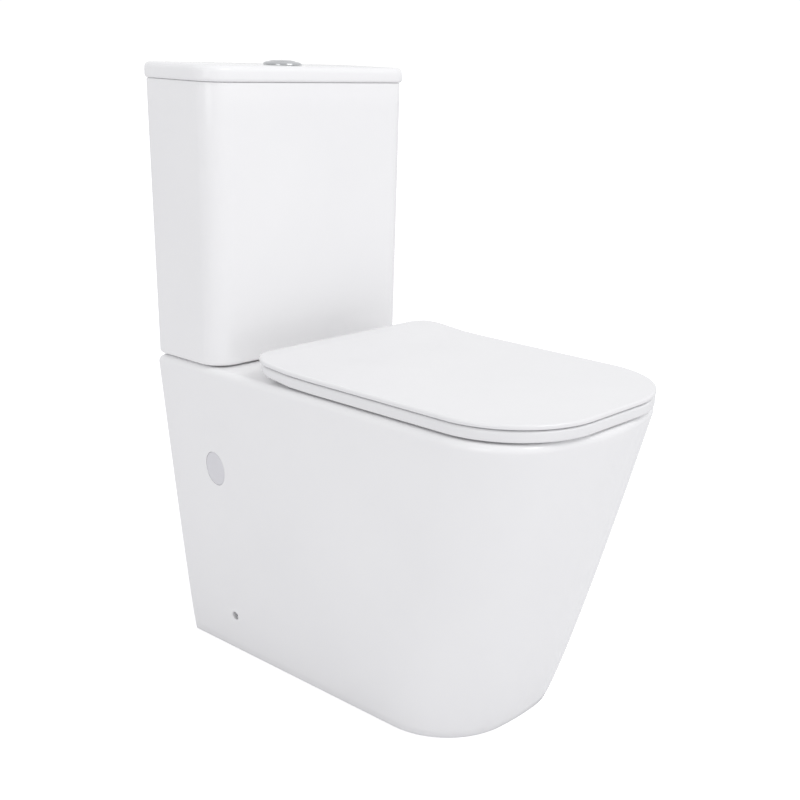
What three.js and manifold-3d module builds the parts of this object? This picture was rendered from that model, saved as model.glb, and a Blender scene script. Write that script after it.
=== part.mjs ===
// A close coupled toilet: a back-to-wall pan with a shelf at the rear, a cistern bolted on the shelf,
// a slim soft-close seat and lid, and the flush and fill valves inside the cistern.
// Millimetres, +Z up. The origin is on the floor, midway between the wall plane and the front of the seat lid.
// The front faces -Y and the wall is at +Y, so most places are given as a distance from the wall.
import * as THREE from 'three';
import { mergeVertices } from 'three/addons/utils/BufferGeometryUtils.js';
import Module from 'manifold-3d';

const wasm = await Module();
wasm.setup();

// ---- driving dimensions ----
const DEPTH = 657.7;
const WALL_Y = DEPTH / 2;
const GAP = 0.3;

const PAN = {
  height: 445.5, halfTop: 181, halfBase: 136.5, depthTop: 660, depthBase: 534,
  cornerTop: 109, cornerBase: 107, bowTop: 12, bowBase: 1.5, power: 0.9,
  wall: 12, deck: 14, rearRadius: 5,
};
const BOWL = { centre: 446, halfWidth: 138, halfLength: 172, wall: 11, floor: 92 };
const TRAP = { bore: 30, wall: 9, spigotBore: 43, spigotOuter: 51, spigotEnd: 80, outletHeight: 185 };
const TANK = {
  base: 447.4, top: 816.7, half: 180, depthTop: 141, depthBase: 132.5,
  frontRadius: 33, rearRadius: 12, wall: 10, floor: 12,
};
const TANK_LID = {
  base: 817, top: 837, half: 183.5, depth: 144, frontRadius: 36, rearRadius: 14, plate: 10,
};
const LIP = { inset: 15, width: 5, drop: 8 };
const SEAT = {
  half: 174.2, front: 656.9, rear: 193.8, frontRadius: 124.5, rearRadius: 36,
  base: 448, top: 462.4, thinning: 1.274, holeHalf: 118, holeLength: 154, holeCentre: 446,
};
const LID = {
  half: 175, front: DEPTH, rear: 188, frontRadius: 125, rearRadius: 40, base: 464, top: 470.1, crown: 1.4,
};
const SWEEP = { rise: 7.3, start: 290, length: 90, power: 1.7 };
const HINGE = { fromWall: 200, height: 463.5, spacing: 155, knuckle: 6.3, pin: 3.5, bore: 3.8, stud: 3 };
const VALVE_FROM_WALL = 70;
const FILL = { x: 128, fromWall: 66 };
const LEVER = { pivot: 13, link: -23 };
const BOLT = { x: 80, shank: 4 };
const BUTTON = { bezel: 26.5, barrel: 20.5, bore: 18.6, radius: 18.2, split: -2.5, top: 843.5, base: 836 };
const STEM = { radius: 4, full: 8, half: -10, foot: 809 };
const CAP = { fromWall: 105, height: 296, halfWidth: 19.5, halfHeight: 25, flange: 2.5, plug: 9 };
const FIXING = { fromWall: 109, height: 60, hole: 6.5, screw: 3 };

const fromWall = (distance) => WALL_Y - distance;
const SIDES = [['left', -1], ['right', 1]];

// ---- colours and finishes ----
const FINISHES = {
  china: { color: 0xf4f4f5, roughness: 0.08, metalness: 0 },
  seat: { color: 0xf3f3f4, roughness: 0.18, metalness: 0 },
  cap: { color: 0xe6e5ec, roughness: 0.3, metalness: 0 },
  chrome: { color: 0xc9cacc, roughness: 0.08, metalness: 1 },
  steel: { color: 0xb4b5b7, roughness: 0.28, metalness: 1 },
  brass: { color: 0xbf9b52, roughness: 0.35, metalness: 1 },
  rubber: { color: 0x2a2a2c, roughness: 0.8, metalness: 0 },
  buffer: { color: 0xdcdcde, roughness: 0.6, metalness: 0 },
  plastic: { color: 0xe2e3e4, roughness: 0.45, metalness: 0 },
  bluePlastic: { color: 0x5f86a8, roughness: 0.45, metalness: 0 },
  greyPlastic: { color: 0x8b8f93, roughness: 0.5, metalness: 0 },
};

const toilet = new THREE.Group();

function add(name, geometry, finish) {
  const mesh = new THREE.Mesh(geometry, new THREE.MeshStandardMaterial(FINISHES[finish]));
  mesh.name = name;
  toilet.add(mesh);
}

// ---- solids ----
function solid(geometry) {
  const plain = geometry.clone();
  plain.deleteAttribute('normal');
  plain.deleteAttribute('uv');
  const merged = mergeVertices(plain, 1e-4);
  const vertProperties = new Float32Array(merged.attributes.position.array);
  const triVerts = new Uint32Array(merged.index.array);
  return new wasm.Manifold(new wasm.Mesh({ numProp: 3, vertProperties, triVerts }));
}

function geometryOf(manifold) {
  const mesh = manifold.getMesh();
  const geometry = new THREE.BufferGeometry();
  geometry.setAttribute('position', new THREE.BufferAttribute(new Float32Array(mesh.vertProperties), 3));
  geometry.setIndex(new THREE.BufferAttribute(new Uint32Array(mesh.triVerts), 1));
  geometry.computeVertexNormals();
  return geometry;
}

function joined(first, ...others) {
  return others.reduce((sum, other) => sum.add(solid(other)), solid(first));
}

function cut(body, ...tools) {
  return tools.reduce((rest, tool) => rest.subtract(solid(tool)), body);
}

// Rings of equal length, each going round the direction of travel, closed by a fan at each end.
function loft(rings) {
  const count = rings[0].length;
  const points = rings.flat();
  const index = [];
  for (let r = 0; r < rings.length - 1; r += 1) {
    for (let i = 0; i < count; i += 1) {
      const a = r * count + i;
      const b = r * count + ((i + 1) % count);
      index.push(a, b, b + count, a, b + count, a + count);
    }
  }
  const ends = [[0, true], [rings.length - 1, false]];
  for (const [r, first] of ends) {
    const middle = rings[r].reduce((sum, p) => sum.add(p), new THREE.Vector3()).divideScalar(count);
    points.push(middle);
    for (let i = 0; i < count; i += 1) {
      const a = r * count + i;
      const b = r * count + ((i + 1) % count);
      index.push(points.length - 1, first ? b : a, first ? a : b);
    }
  }
  const geometry = new THREE.BufferGeometry().setFromPoints(points);
  geometry.setIndex(index);
  geometry.computeVertexNormals();
  return geometry;
}

function box(x0, x1, y0, y1, z0, z1) {
  const geometry = new THREE.BoxGeometry(Math.abs(x1 - x0), Math.abs(y1 - y0), z1 - z0);
  return geometry.translate((x0 + x1) / 2, (y0 + y1) / 2, (z0 + z1) / 2);
}

function uprightRod(radius, z0, z1, x, distance, segments = 16) {
  const geometry = new THREE.CylinderGeometry(radius, radius, z1 - z0, segments);
  return geometry.rotateX(Math.PI / 2).translate(x, fromWall(distance), (z0 + z1) / 2);
}

function crossRod(radius, x0, x1, distance, z, segments = 16) {
  const geometry = new THREE.CylinderGeometry(radius, radius, Math.abs(x1 - x0), segments);
  return geometry.rotateZ(Math.PI / 2).translate((x0 + x1) / 2, fromWall(distance), z);
}

function depthRod(radius, d0, d1, x, z, segments = 24) {
  const geometry = new THREE.CylinderGeometry(radius, radius, d1 - d0, segments);
  return geometry.translate(x, fromWall((d0 + d1) / 2), z);
}

// A turned piece: corners are [radius, height], anticlockwise with radius to the right and height up.
function turned(corners, x, distance, segments = 20) {
  const profile = corners.map(([r, z]) => new THREE.Vector2(r, z));
  profile.push(profile[0].clone());
  const geometry = new THREE.LatheGeometry(profile, segments);
  return geometry.rotateX(Math.PI / 2).translate(x, fromWall(distance), 0);
}

function washer(inner, outer, z0, z1, x, distance, segments = 16) {
  return turned([[inner, z0], [outer, z0], [outer, z1], [inner, z1]], x, distance, segments);
}

function hexNut(inner, outer, z0, z1, x, distance) {
  return geometryOf(cut(solid(uprightRod(outer, z0, z1, x, distance, 6)),
    uprightRod(inner, z0 - 1, z1 + 1, x, distance, 12)));
}

function pipe(points, radius, steps, sides = 12) {
  const section = new THREE.Shape(new THREE.Path().absarc(0, 0, radius, 0, 2 * Math.PI).getPoints(sides));
  const path = new THREE.CatmullRomCurve3(points.map(([d, z]) => new THREE.Vector3(0, fromWall(d), z)));
  return new THREE.ExtrudeGeometry(section, { steps, bevelEnabled: false, extrudePath: path });
}

// ---- outlines seen from above ----
function arc(cx, cy, radius, from, to, steps) {
  const points = [];
  for (let i = 0; i <= steps; i += 1) {
    const a = from + ((to - from) * i) / steps;
    points.push([cx + radius * Math.cos(a), cy + radius * Math.sin(a)]);
  }
  return points;
}

// Straight sides, two rear corners, two front corners and a front edge that bows forward.
function planOutline({ half, rear, front, rearRadius, frontRadius, bow = 0, steps = 8 }) {
  const back = fromWall(rear) - rearRadius;
  const slope = Math.atan2(2 * bow, half - frontRadius);
  const side = half - frontRadius;
  const cy = fromWall(front - bow) + frontRadius;
  const rightRear = arc(half - rearRadius, back, rearRadius, 0, Math.PI / 2, 3);
  const rightFront = arc(side, cy, frontRadius, slope - Math.PI / 2, 0, steps);
  const [endX, endY] = rightFront[0];
  const noseY = fromWall(front);
  const nose = [-0.6, -0.2, 0.2, 0.6].map((t) => [t * endX, noseY + (endY - noseY) * t * t]);
  const right = [...rightFront, ...rightRear];
  const left = right.map(([x, y]) => [-x, y]).reverse();
  return [...nose, ...right, ...left];
}

function ring(outline, z) {
  return outline.map(([x, y]) => new THREE.Vector3(x, y, z));
}

// An oval between an ellipse and a rectangle, the shape of the bowl and of the seat opening.
function oval(halfWidth, halfLength, centre, z, count = 24, squareness = 2.5) {
  const points = [];
  for (let i = 0; i < count; i += 1) {
    const a = (2 * Math.PI * i) / count;
    const x = halfWidth * Math.sign(Math.cos(a)) * Math.abs(Math.cos(a)) ** (2 / squareness);
    const y = halfLength * Math.sign(Math.sin(a)) * Math.abs(Math.sin(a)) ** (2 / squareness);
    points.push(new THREE.Vector3(x, fromWall(centre) + y, z));
  }
  return points;
}

// ---- the pan ----
function panRing(z, inset) {
  const t = Math.max(Math.min(z / PAN.height, 1), 0);
  const grow = t ** PAN.power;
  const mix = (base, top, s) => base + (top - base) * s;
  return ring(planOutline({
    half: mix(PAN.halfBase, PAN.halfTop, grow) - inset,
    rear: Math.min(inset, PAN.wall),
    front: mix(PAN.depthBase, PAN.depthTop, grow) - inset,
    rearRadius: PAN.rearRadius,
    frontRadius: mix(PAN.cornerBase, PAN.cornerTop, t) - inset,
    bow: mix(PAN.bowBase, PAN.bowTop, t),
    steps: 6,
  }), z);
}

const PAN_LEVELS = [0, 110, 230, 350, 432];

function bowlRings(grow) {
  const { centre, halfWidth, halfLength, floor } = BOWL;
  const levels = [
    [floor - grow, 22, 24, 374], [floor + 18, 31, 33, 374], [150, 39, 43, 378], [195, 50, 60, 386],
    [240, 70, 92, 402], [300, 100, 132, 424], [365, 127, 160, 440], [425, halfWidth, halfLength, centre],
  ];
  const rings = levels.map(([z, w, l, c]) => oval(w + grow, l + grow, c, z));
  const top = PAN.height + 1;
  const mouth = grow ? 0 : 3;
  rings.push(oval(halfWidth + grow, halfLength + grow, centre, grow ? PAN.height - PAN.deck + 2 : PAN.height - 4));
  rings.push(oval(halfWidth + grow + mouth, halfLength + grow + mouth, centre, grow ? PAN.height - 6 : top));
  return rings;
}

function wallPlace(side) {
  const [low, high] = [230, 350];
  const halfAt = (z) => Math.max(...panRing(z, 0).map((p) => p.x));
  const slope = (halfAt(high) - halfAt(low)) / (high - low);
  const tilt = Math.atan(slope);
  const x = halfAt(low) + slope * (CAP.height - low);
  const outward = new THREE.Vector3(side * Math.cos(tilt), 0, -Math.sin(tilt));
  const up = new THREE.Vector3(side * Math.sin(tilt), 0, Math.cos(tilt));
  const along = new THREE.Vector3().crossVectors(up, outward);
  const place = new THREE.Matrix4().makeBasis(along, up, outward);
  return place.setPosition(side * x, fromWall(CAP.fromWall), CAP.height);
}

// An oval disc lying in the sloping side of the pan, from in to out along the wall's own normal.
function wallOval(side, halfWidth, halfHeight, from, to, steps = 20) {
  const shape = new THREE.Shape(new THREE.EllipseCurve(0, 0, halfWidth, halfHeight).getPoints(steps));
  const geometry = new THREE.ExtrudeGeometry(shape, { depth: to - from, bevelEnabled: false });
  return geometry.translate(0, 0, from).applyMatrix4(wallPlace(side));
}

function rearDoorway() {
  const shape = new THREE.Shape();
  const [half, top, radius] = [104, 330, 30];
  shape.moveTo(-half, -1);
  shape.lineTo(half, -1);
  shape.lineTo(half, top - radius);
  shape.absarc(half - radius, top - radius, radius, 0, Math.PI / 2);
  shape.absarc(radius - half, top - radius, radius, Math.PI / 2, Math.PI);
  const geometry = new THREE.ExtrudeGeometry(shape, { depth: 16, bevelEnabled: false, curveSegments: 4 });
  return geometry.rotateX(Math.PI / 2).translate(0, WALL_Y + 1, 0);
}

const TRAP_PATH = [[372, 124], [335, 122], [298, 150], [272, 202], [236, 231], [196, 216], [160, 192], [120, 185]];
const INLET_PATH = [[70, 414], [92, 396], [140, 390], [210, 390], [292, 394]];

function pan() {
  const deckUnderside = PAN.height - PAN.deck;
  const edge = [[PAN.height - 7, 0.2], [PAN.height - 2.5, 2.2], [PAN.height, 7]];
  const outer = loft([...PAN_LEVELS.map((z) => panRing(z, 0)), ...edge.map(([z, inset]) => panRing(z, inset))]);
  const hollowLevels = [-1, 110, 230, 350, deckUnderside];
  const bowlSolid = loft(bowlRings(BOWL.wall));
  const { wall, bore, spigotOuter, spigotBore, spigotEnd, outletHeight } = TRAP;
  const chamber = uprightRod(62, 378, deckUnderside + 1, 0, VALVE_FROM_WALL, 24);
  const kept = joined(bowlSolid, pipe(TRAP_PATH, bore + wall, 13),
    depthRod(spigotOuter, spigotEnd, 150, 0, outletHeight), pipe(INLET_PATH, 34, 8), chamber);
  const hollow = solid(loft(hollowLevels.map((z) => panRing(z, PAN.wall)))).subtract(kept);
  const shell = solid(outer).subtract(hollow).subtract(solid(rearDoorway()).subtract(kept));
  const passages = [
    loft(bowlRings(0)), pipe(TRAP_PATH, bore, 13), depthRod(spigotBore, spigotEnd - 1, 132, 0, outletHeight),
    pipe(INLET_PATH, 25, 8), uprightRod(50, 408, PAN.height + 1, 0, VALVE_FROM_WALL, 24),
    uprightRod(20, 400, PAN.height + 1, FILL.x, FILL.fromWall),
  ];
  const holes = SIDES.flatMap(([, side]) => [
    uprightRod(7, 400, PAN.height + 1, side * BOLT.x, VALVE_FROM_WALL, 12),
    uprightRod(6, 400, PAN.height + 1, (side * HINGE.spacing) / 2, HINGE.fromWall + 1, 12),
    crossRod(FIXING.hole, side * 100, side * 180, FIXING.fromWall, FIXING.height),
    wallOval(side, CAP.halfWidth - 2.2, CAP.halfHeight - 2.2, -30, 10),
    wallOval(side, CAP.halfWidth + GAP, CAP.halfHeight + GAP, -CAP.flange - GAP, 10),
  ]);
  add('pan', geometryOf(cut(shell, ...passages, ...holes)), 'china');
}

function accessCap(name, side) {
  const flange = wallOval(side, CAP.halfWidth, CAP.halfHeight, -CAP.flange, 0);
  const plug = wallOval(side, CAP.halfWidth - 2.5, CAP.halfHeight - 2.5, -CAP.flange - CAP.plug, -CAP.flange / 2);
  const hollow = wallOval(side, CAP.halfWidth - 5, CAP.halfHeight - 5, -CAP.flange - CAP.plug - 1, -CAP.flange);
  add(`access_cap_${name}`, geometryOf(cut(joined(flange, plug), hollow)), 'cap');
}

// An angle bracket fixed to the floor inside the skirt, its anchor, and the screw through the side of the pan.
function floorFixing(name, side) {
  const y = fromWall(FIXING.fromWall);
  const foot = box(side * 84, side * 124, y - 18, y + 18, 0, 5);
  const leg = box(side * 117, side * 124, y - 18, y + 18, 0, 84);
  const bracket = cut(joined(foot, leg),
    crossRod(FIXING.screw + GAP, side * 110, side * 130, FIXING.fromWall, FIXING.height, 12),
    uprightRod(3.3, -1, 8, side * 100, FIXING.fromWall, 12));
  add(`floor_bracket_${name}`, geometryOf(bracket), 'greyPlastic');
  const anchor = turned([[0, GAP], [3, GAP], [3, 5.3], [7, 5.3], [7, 7.5], [4.5, 9.5], [0, 9.5]], side * 100,
    FIXING.fromWall, 12);
  add(`bracket_anchor_${name}`, anchor, 'steel');
  const screw = joined(crossRod(FIXING.screw, side * 106, side * 138.5, FIXING.fromWall, FIXING.height, 12),
    crossRod(5.6, side * 137.5, side * 141, FIXING.fromWall, FIXING.height, 16));
  add(`side_fixing_screw_${name}`, geometryOf(screw), 'steel');
}

// ---- the cistern ----
function tankRing(z, inset, wall = 0) {
  const t = (z - TANK.base) / (TANK.top - TANK.base);
  const shrink = inset + wall;
  return ring(planOutline({
    half: TANK.half - shrink,
    rear: shrink,
    front: TANK.depthBase + (TANK.depthTop - TANK.depthBase) * t - shrink,
    rearRadius: Math.max(TANK.rearRadius - wall / 2, 4),
    frontRadius: TANK.frontRadius - wall,
    steps: 6,
  }), z);
}

function cisternTank() {
  const { base, top, wall, floor } = TANK;
  const outside = [[base, 5], [base + 1.6, 2.2], [base + 6, 0], [top - 1.5, 0], [top, 1.2]];
  const outer = loft(outside.map(([z, inset]) => tankRing(z, inset)));
  const inner = loft([[base + floor, 6], [base + floor + 6, 0], [top + 1, 0]].map(([z, i]) => tankRing(z, i, wall)));
  const holes = [
    uprightRod(33, base - 1, base + floor + 1, 0, VALVE_FROM_WALL, 24),
    uprightRod(12, base - 1, base + floor + 1, FILL.x, FILL.fromWall),
    ...SIDES.map(([, side]) => uprightRod(6, base - 1, base + floor + 1, side * BOLT.x, VALVE_FROM_WALL, 12)),
  ];
  add('cistern_tank', geometryOf(cut(solid(outer), inner, ...holes)), 'china');
}

function tankLidRing(z, inset) {
  return ring(planOutline({
    half: TANK_LID.half - inset,
    rear: inset,
    front: TANK_LID.depth - inset,
    rearRadius: Math.max(TANK_LID.rearRadius - inset, 3),
    frontRadius: TANK_LID.frontRadius - inset,
    steps: 6,
  }), z);
}

function cisternLid() {
  const { base, top, plate } = TANK_LID;
  const outside = [[base, 4], [base + 1.3, 1.3], [base + 4.2, 0], [top - 8, 0], [top - 2.5, 2.2], [top, 8]];
  const body = joined(loft(outside.map(([z, inset]) => tankLidRing(z, inset))),
    loft([base - LIP.drop, base + 1].map((z) => tankLidRing(z, LIP.inset))));
  const pocket = loft([base - LIP.drop - 1, top - plate].map((z) => tankLidRing(z, LIP.inset + LIP.width)));
  const hole = uprightRod(BUTTON.barrel + 0.5, base, top + 1, 0, VALVE_FROM_WALL, 24);
  add('cistern_lid', geometryOf(cut(body, pocket, hole)), 'china');
}

// ---- bolts that clamp the cistern to the pan ----
function wingNut(x) {
  const y = fromWall(VALVE_FROM_WALL);
  const hub = uprightRod(7, 417, 429, x, VALVE_FROM_WALL, 12);
  const wings = [-1, 1].map((s) => box(x - 1.5, x + 1.5, y + s * 5, y + s * 16, 418, 427));
  return geometryOf(cut(joined(hub, ...wings), uprightRod(BOLT.shank + GAP, 416, 430, x, VALVE_FROM_WALL, 12)));
}

function couplingBolt(name, side) {
  const x = side * BOLT.x;
  const floor = TANK.base + TANK.floor;
  const head = uprightRod(8, floor + 3.6, floor + 9, x, VALVE_FROM_WALL, 6);
  const shank = uprightRod(BOLT.shank, 408, floor + 5, x, VALVE_FROM_WALL, 12);
  add(`coupling_bolt_${name}`, geometryOf(joined(head, shank)), 'brass');
  const cone = [[4.3, floor + GAP], [11, floor + GAP], [11, floor + 1.8], [7, floor + 3.3], [4.3, floor + 3.3]];
  add(`bolt_seal_${name}`, turned(cone, x, VALVE_FROM_WALL, 16), 'rubber');
  add(`bolt_washer_${name}`, washer(4.3, 11, 429.3, 431.2, x, VALVE_FROM_WALL), 'steel');
  add(`wing_nut_${name}`, wingNut(x), 'brass');
}

function couplingGasket() {
  const profile = [[27, 412], [47, 412], [49.6, 418], [49.6, 447.1], [42.6, 447.1], [42.6, 424], [27, 421]];
  add('coupling_gasket', turned(profile, 0, VALVE_FROM_WALL, 24), 'rubber');
}

// ---- the flush valve ----
function flushValve() {
  const floor = TANK.base + TANK.floor;
  const seat = floor + 8;
  const profile = [
    [25, 426], [30, 426], [30, floor + 3.6], [44, floor + 3.6], [44, seat], [37, seat], [37, 646],
    [13, 646], [13, 642], [34, 642], [34, seat + 1], [31, seat], [25, seat],
  ];
  const windows = [0, Math.PI / 2].map((a) => {
    const slot = new THREE.BoxGeometry(90, 26, 40).rotateZ(a + Math.PI / 4);
    return slot.translate(0, fromWall(VALVE_FROM_WALL), seat + 26);
  });
  const body = turned(profile, 0, VALVE_FROM_WALL, 24);
  add('flush_valve_body', geometryOf(cut(solid(body), ...windows)), 'plastic');
  add('flush_valve_seal', washer(30.5, 43, floor + GAP, floor + 3.3, 0, VALVE_FROM_WALL, 20), 'rubber');
  const nut = geometryOf(cut(solid(uprightRod(42, 436, 447.1, 0, VALVE_FROM_WALL, 8)),
    uprightRod(30.4, 435, 448, 0, VALVE_FROM_WALL, 24)));
  add('flush_valve_nut', nut, 'plastic');
  const plunger = [
    [9.5, seat + 6], [30, seat + 6], [30, seat + 10], [14, seat + 14], [12, seat + 18], [12, 660], [9.5, 660],
  ];
  add('flush_plunger', turned(plunger, 0, VALVE_FROM_WALL, 16), 'bluePlastic');
  add('plunger_seal', washer(15, 29, seat + 1.3, seat + 5.7, 0, VALVE_FROM_WALL, 20), 'rubber');
  const head = turned([[26, 646.4], [30, 646.4], [30, 704], [0, 704], [0, 700], [26, 700]], 0, VALVE_FROM_WALL);
  const y = fromWall(VALVE_FROM_WALL);
  const holes = [STEM.full, STEM.half].map((x) => uprightRod(3.6, 699, 705, x, VALVE_FROM_WALL, 12));
  const vents = box(-40, 40, y - 8, y + 8, 660, 690);
  add('flush_valve_head', geometryOf(cut(solid(head), vents, ...holes)), 'greyPlastic');
}

// ---- the push buttons in the cistern lid ----
function buttonBezel() {
  const { bezel, barrel, bore } = BUTTON;
  const top = TANK_LID.top;
  const profile = [
    [0, 812], [barrel, 812], [barrel, top + GAP], [bezel, top + GAP], [bezel, top + 1.4], [24.5, top + 3.4],
    [20, top + 4.6], [bore, top + 4], [bore, 815], [0, 815],
  ];
  const holes = [STEM.full, STEM.half].map((x) => uprightRod(STEM.radius + 0.4, 810, 817, x, VALVE_FROM_WALL, 12));
  add('button_bezel', geometryOf(cut(solid(turned(profile, 0, VALVE_FROM_WALL, 24)), ...holes)), 'chrome');
  add('bezel_nut', washer(barrel + GAP, 27, 820, 826.7, 0, VALVE_FROM_WALL, 20), 'plastic');
}

// One part of the round button on one side of the split, with the stem that its rod screws into.
function flushButton(size, side, stemX) {
  const { radius, split, base, top } = BUTTON;
  const edge = split + side * 0.4;
  const half = Math.acos((edge * side) / radius);
  const middle = side > 0 ? 0 : Math.PI;
  const shape = new THREE.Shape(new THREE.Path().absarc(0, 0, radius, middle - half, middle + half).getPoints(10));
  const plate = new THREE.ExtrudeGeometry(shape, { depth: top - base, bevelEnabled: false });
  plate.translate(0, fromWall(VALVE_FROM_WALL), base);
  const stem = uprightRod(STEM.radius, STEM.foot, base + 1, stemX, VALVE_FROM_WALL, 12);
  add(`${size}_flush_button`, geometryOf(joined(plate, stem)), 'chrome');
  add(`${size}_flush_rod`, uprightRod(2.5, 697, STEM.foot - GAP, stemX, VALVE_FROM_WALL, 10), 'plastic');
  add(`${size}_button_spring`, spring(stemX), 'steel');
}

function spring(x) {
  const [low, high, turns, radius, wire] = [816, 835, 4, 5.7, 0.6];
  const helix = new THREE.Curve();
  helix.getPoint = (t) => {
    const a = 2 * Math.PI * turns * t;
    return new THREE.Vector3(x + radius * Math.cos(a), fromWall(VALVE_FROM_WALL) + radius * Math.sin(a),
      low + (high - low) * t);
  };
  const section = new THREE.Shape(new THREE.Path().absarc(0, 0, wire, 0, 2 * Math.PI).getPoints(4));
  return new THREE.ExtrudeGeometry(section, { steps: turns * 11, bevelEnabled: false, extrudePath: helix });
}

// ---- the fill valve ----
function fillValve() {
  const floor = TANK.base + TANK.floor;
  const { x, fromWall: distance } = FILL;
  const column = [
    [5, 404], [10.3, 404], [10.3, floor + 3.6], [20, floor + 3.6], [20, floor + 7], [11, floor + 10], [11, 716],
    [5, 716],
  ];
  add('fill_valve_body', turned(column, x, distance, 16), 'plastic');
  add('fill_valve_seal', washer(10.8, 19, floor + GAP, floor + 3.3, x, distance), 'rubber');
  add('fill_valve_nut', hexNut(11, 17, 438, 447.1, x, distance), 'plastic');
  const y = fromWall(distance);
  const capTop = 738;
  const pivot = { x: x + LEVER.pivot, z: capTop + 4 };
  const ears = [-1, 1].map((s) => box(pivot.x - 4, pivot.x + 4, y + s * 3.9, y + s * 6.5, capTop - 1, capTop + 7));
  const cap = turned([[0, 716.3], [17, 716.3], [17, 733], [14, capTop], [0, capTop]], x, distance, 16);
  const pinHole = new THREE.CylinderGeometry(1.7, 1.7, 20, 10).translate(pivot.x, y, pivot.z);
  add('fill_valve_cap', geometryOf(cut(joined(cap, ...ears), pinHole)), 'greyPlastic');
  const cup = turned([[12, 628], [13.5, 628], [13.5, 686], [25.5, 686], [25.5, 628], [27, 628], [27, 690],
    [12, 690]], x, distance, 16);
  add('float_cup', cup, 'bluePlastic');
  add('float_link', uprightRod(1.6, 690.3, capTop, x + LEVER.link, distance, 8), 'plastic');
  const arm = box(x + LEVER.link - 3, pivot.x + 3, y - 3.5, y + 3.5, capTop + 1.8, capTop + 5.6);
  const pin = new THREE.CylinderGeometry(1.3, 1.3, 12.6, 10).translate(pivot.x, y, pivot.z);
  add('float_lever', geometryOf(joined(arm, pin)), 'greyPlastic');
}

// ---- the seat, its lid and the hinges ----
function rise(distance) {
  const t = Math.max((SWEEP.start - distance) / SWEEP.length, 0);
  return SWEEP.rise * t ** SWEEP.power;
}

function halfAt(shape, distance) {
  const { half, rear, front, rearRadius, frontRadius } = shape;
  const corner = (radius, run) => half - radius + Math.sqrt(Math.max(radius ** 2 - run ** 2, 0));
  if (distance < rear + rearRadius) return corner(rearRadius, rear + rearRadius - distance);
  if (distance > front - frontRadius) return corner(frontRadius, distance - front + frontRadius);
  return half;
}

// Places along the slab where its outline or its sweep bends, from the rear to the front.
function stations({ rear, front, rearRadius, frontRadius }) {
  const list = [rear, rear + 1.2, rear + 4, rear + 10, rear + rearRadius / 2, rear + rearRadius];
  list.push(240, 256, SWEEP.start);
  list.push(front - frontRadius);
  for (let degrees = 15; degrees < 90; degrees += 12.5) {
    list.push(front - frontRadius + frontRadius * Math.sin((degrees * Math.PI) / 180));
  }
  return [...list, front - 1.2, front];
}

// A section across the slab: right edge, top with its crown, left edge, bottom.
function slabRing(half, distance, base, top, crown, edge) {
  const shoulder = Math.min(edge, (top - base) / 2 - 0.1);
  const inner = half - shoulder;
  const bulge = (t) => crown * (1 - t * t);
  const pairs = [
    [half, base + shoulder], [half, top - shoulder], [inner, top], [inner * 0.6, top + bulge(0.6)],
    [0, top + bulge(0)], [-inner * 0.6, top + bulge(0.6)], [-inner, top], [-half, top - shoulder],
    [-half, base + shoulder], [-inner, base], [0, base], [inner, base],
  ];
  return pairs.map(([x, z]) => new THREE.Vector3(x, fromWall(distance), z));
}

function seatRing() {
  const rings = stations(SEAT).map((d) => {
    const lift = rise(Math.max(d, HINGE.fromWall));
    const [low, high] = [SEAT.base + lift * SEAT.thinning, SEAT.top + lift];
    const [middle, height] = [(low + high) / 2, (high - low) / 2];
    const fromAxis = Math.max(HINGE.fromWall - d, 0);
    const round = Math.sqrt(Math.max(HINGE.knuckle ** 2 - fromAxis ** 2, 0.6));
    const nose = d > SEAT.front - 1 ? 1.4 : 0;
    const thick = (d < HINGE.fromWall + 5 ? Math.min(height, round) : height) - nose;
    return slabRing(halfAt(SEAT, d), d, middle - thick, middle + thick, 0, 1.6);
  });
  const { holeHalf, holeLength, holeCentre } = SEAT;
  const hole = loft([440, 480].map((z) => oval(holeHalf, holeLength, holeCentre, z, 32, 2.6)));
  const notches = SIDES.flatMap(([, side]) => [
    box(side * 67.5, side * 104.6, fromWall(180), fromWall(210), 440, 490),
    crossRod(HINGE.bore, side * 51.5, side * 69, HINGE.fromWall, HINGE.height),
  ]);
  add('seat_ring', geometryOf(cut(solid(loft(rings)), hole, ...notches)), 'seat');
}

function seatLid() {
  const rings = stations(LID).map((d) => {
    const nose = d < LID.rear + 1 || d > LID.front - 1 ? 1.4 : 0;
    const lift = rise(Math.max(d, HINGE.fromWall));
    return slabRing(halfAt(LID, d), d, LID.base + lift + nose, LID.top + lift - nose, LID.crown, 1.6);
  });
  const pocketShape = { ...LID, half: LID.half - 14, rear: 292, front: LID.front - 14, frontRadius: 111 };
  const hollow = stations(pocketShape).filter((d) => d >= 292).sort((a, b) => a - b).map((d) => (
    slabRing(halfAt(pocketShape, d), d, LID.base - 2, LID.base + 2.4, 0.8, 0.3)));
  const knuckles = SIDES.flatMap(([, side]) => {
    const [from, to] = [side * 87.6, side * 104];
    const y = fromWall(HINGE.fromWall);
    return [
      crossRod(HINGE.knuckle, from, to, HINGE.fromWall, HINGE.height),
      box(from, to, y - 5, y + 5, HINGE.height, LID.base + SWEEP.rise + 2),
    ];
  });
  const bores = SIDES.map(([, side]) => crossRod(HINGE.bore, side * 86, side * 106, HINGE.fromWall, HINGE.height));
  const body = joined(loft(rings), ...knuckles);
  add('seat_lid', geometryOf(cut(body, loft(hollow), ...bores)), 'seat');
}

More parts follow.
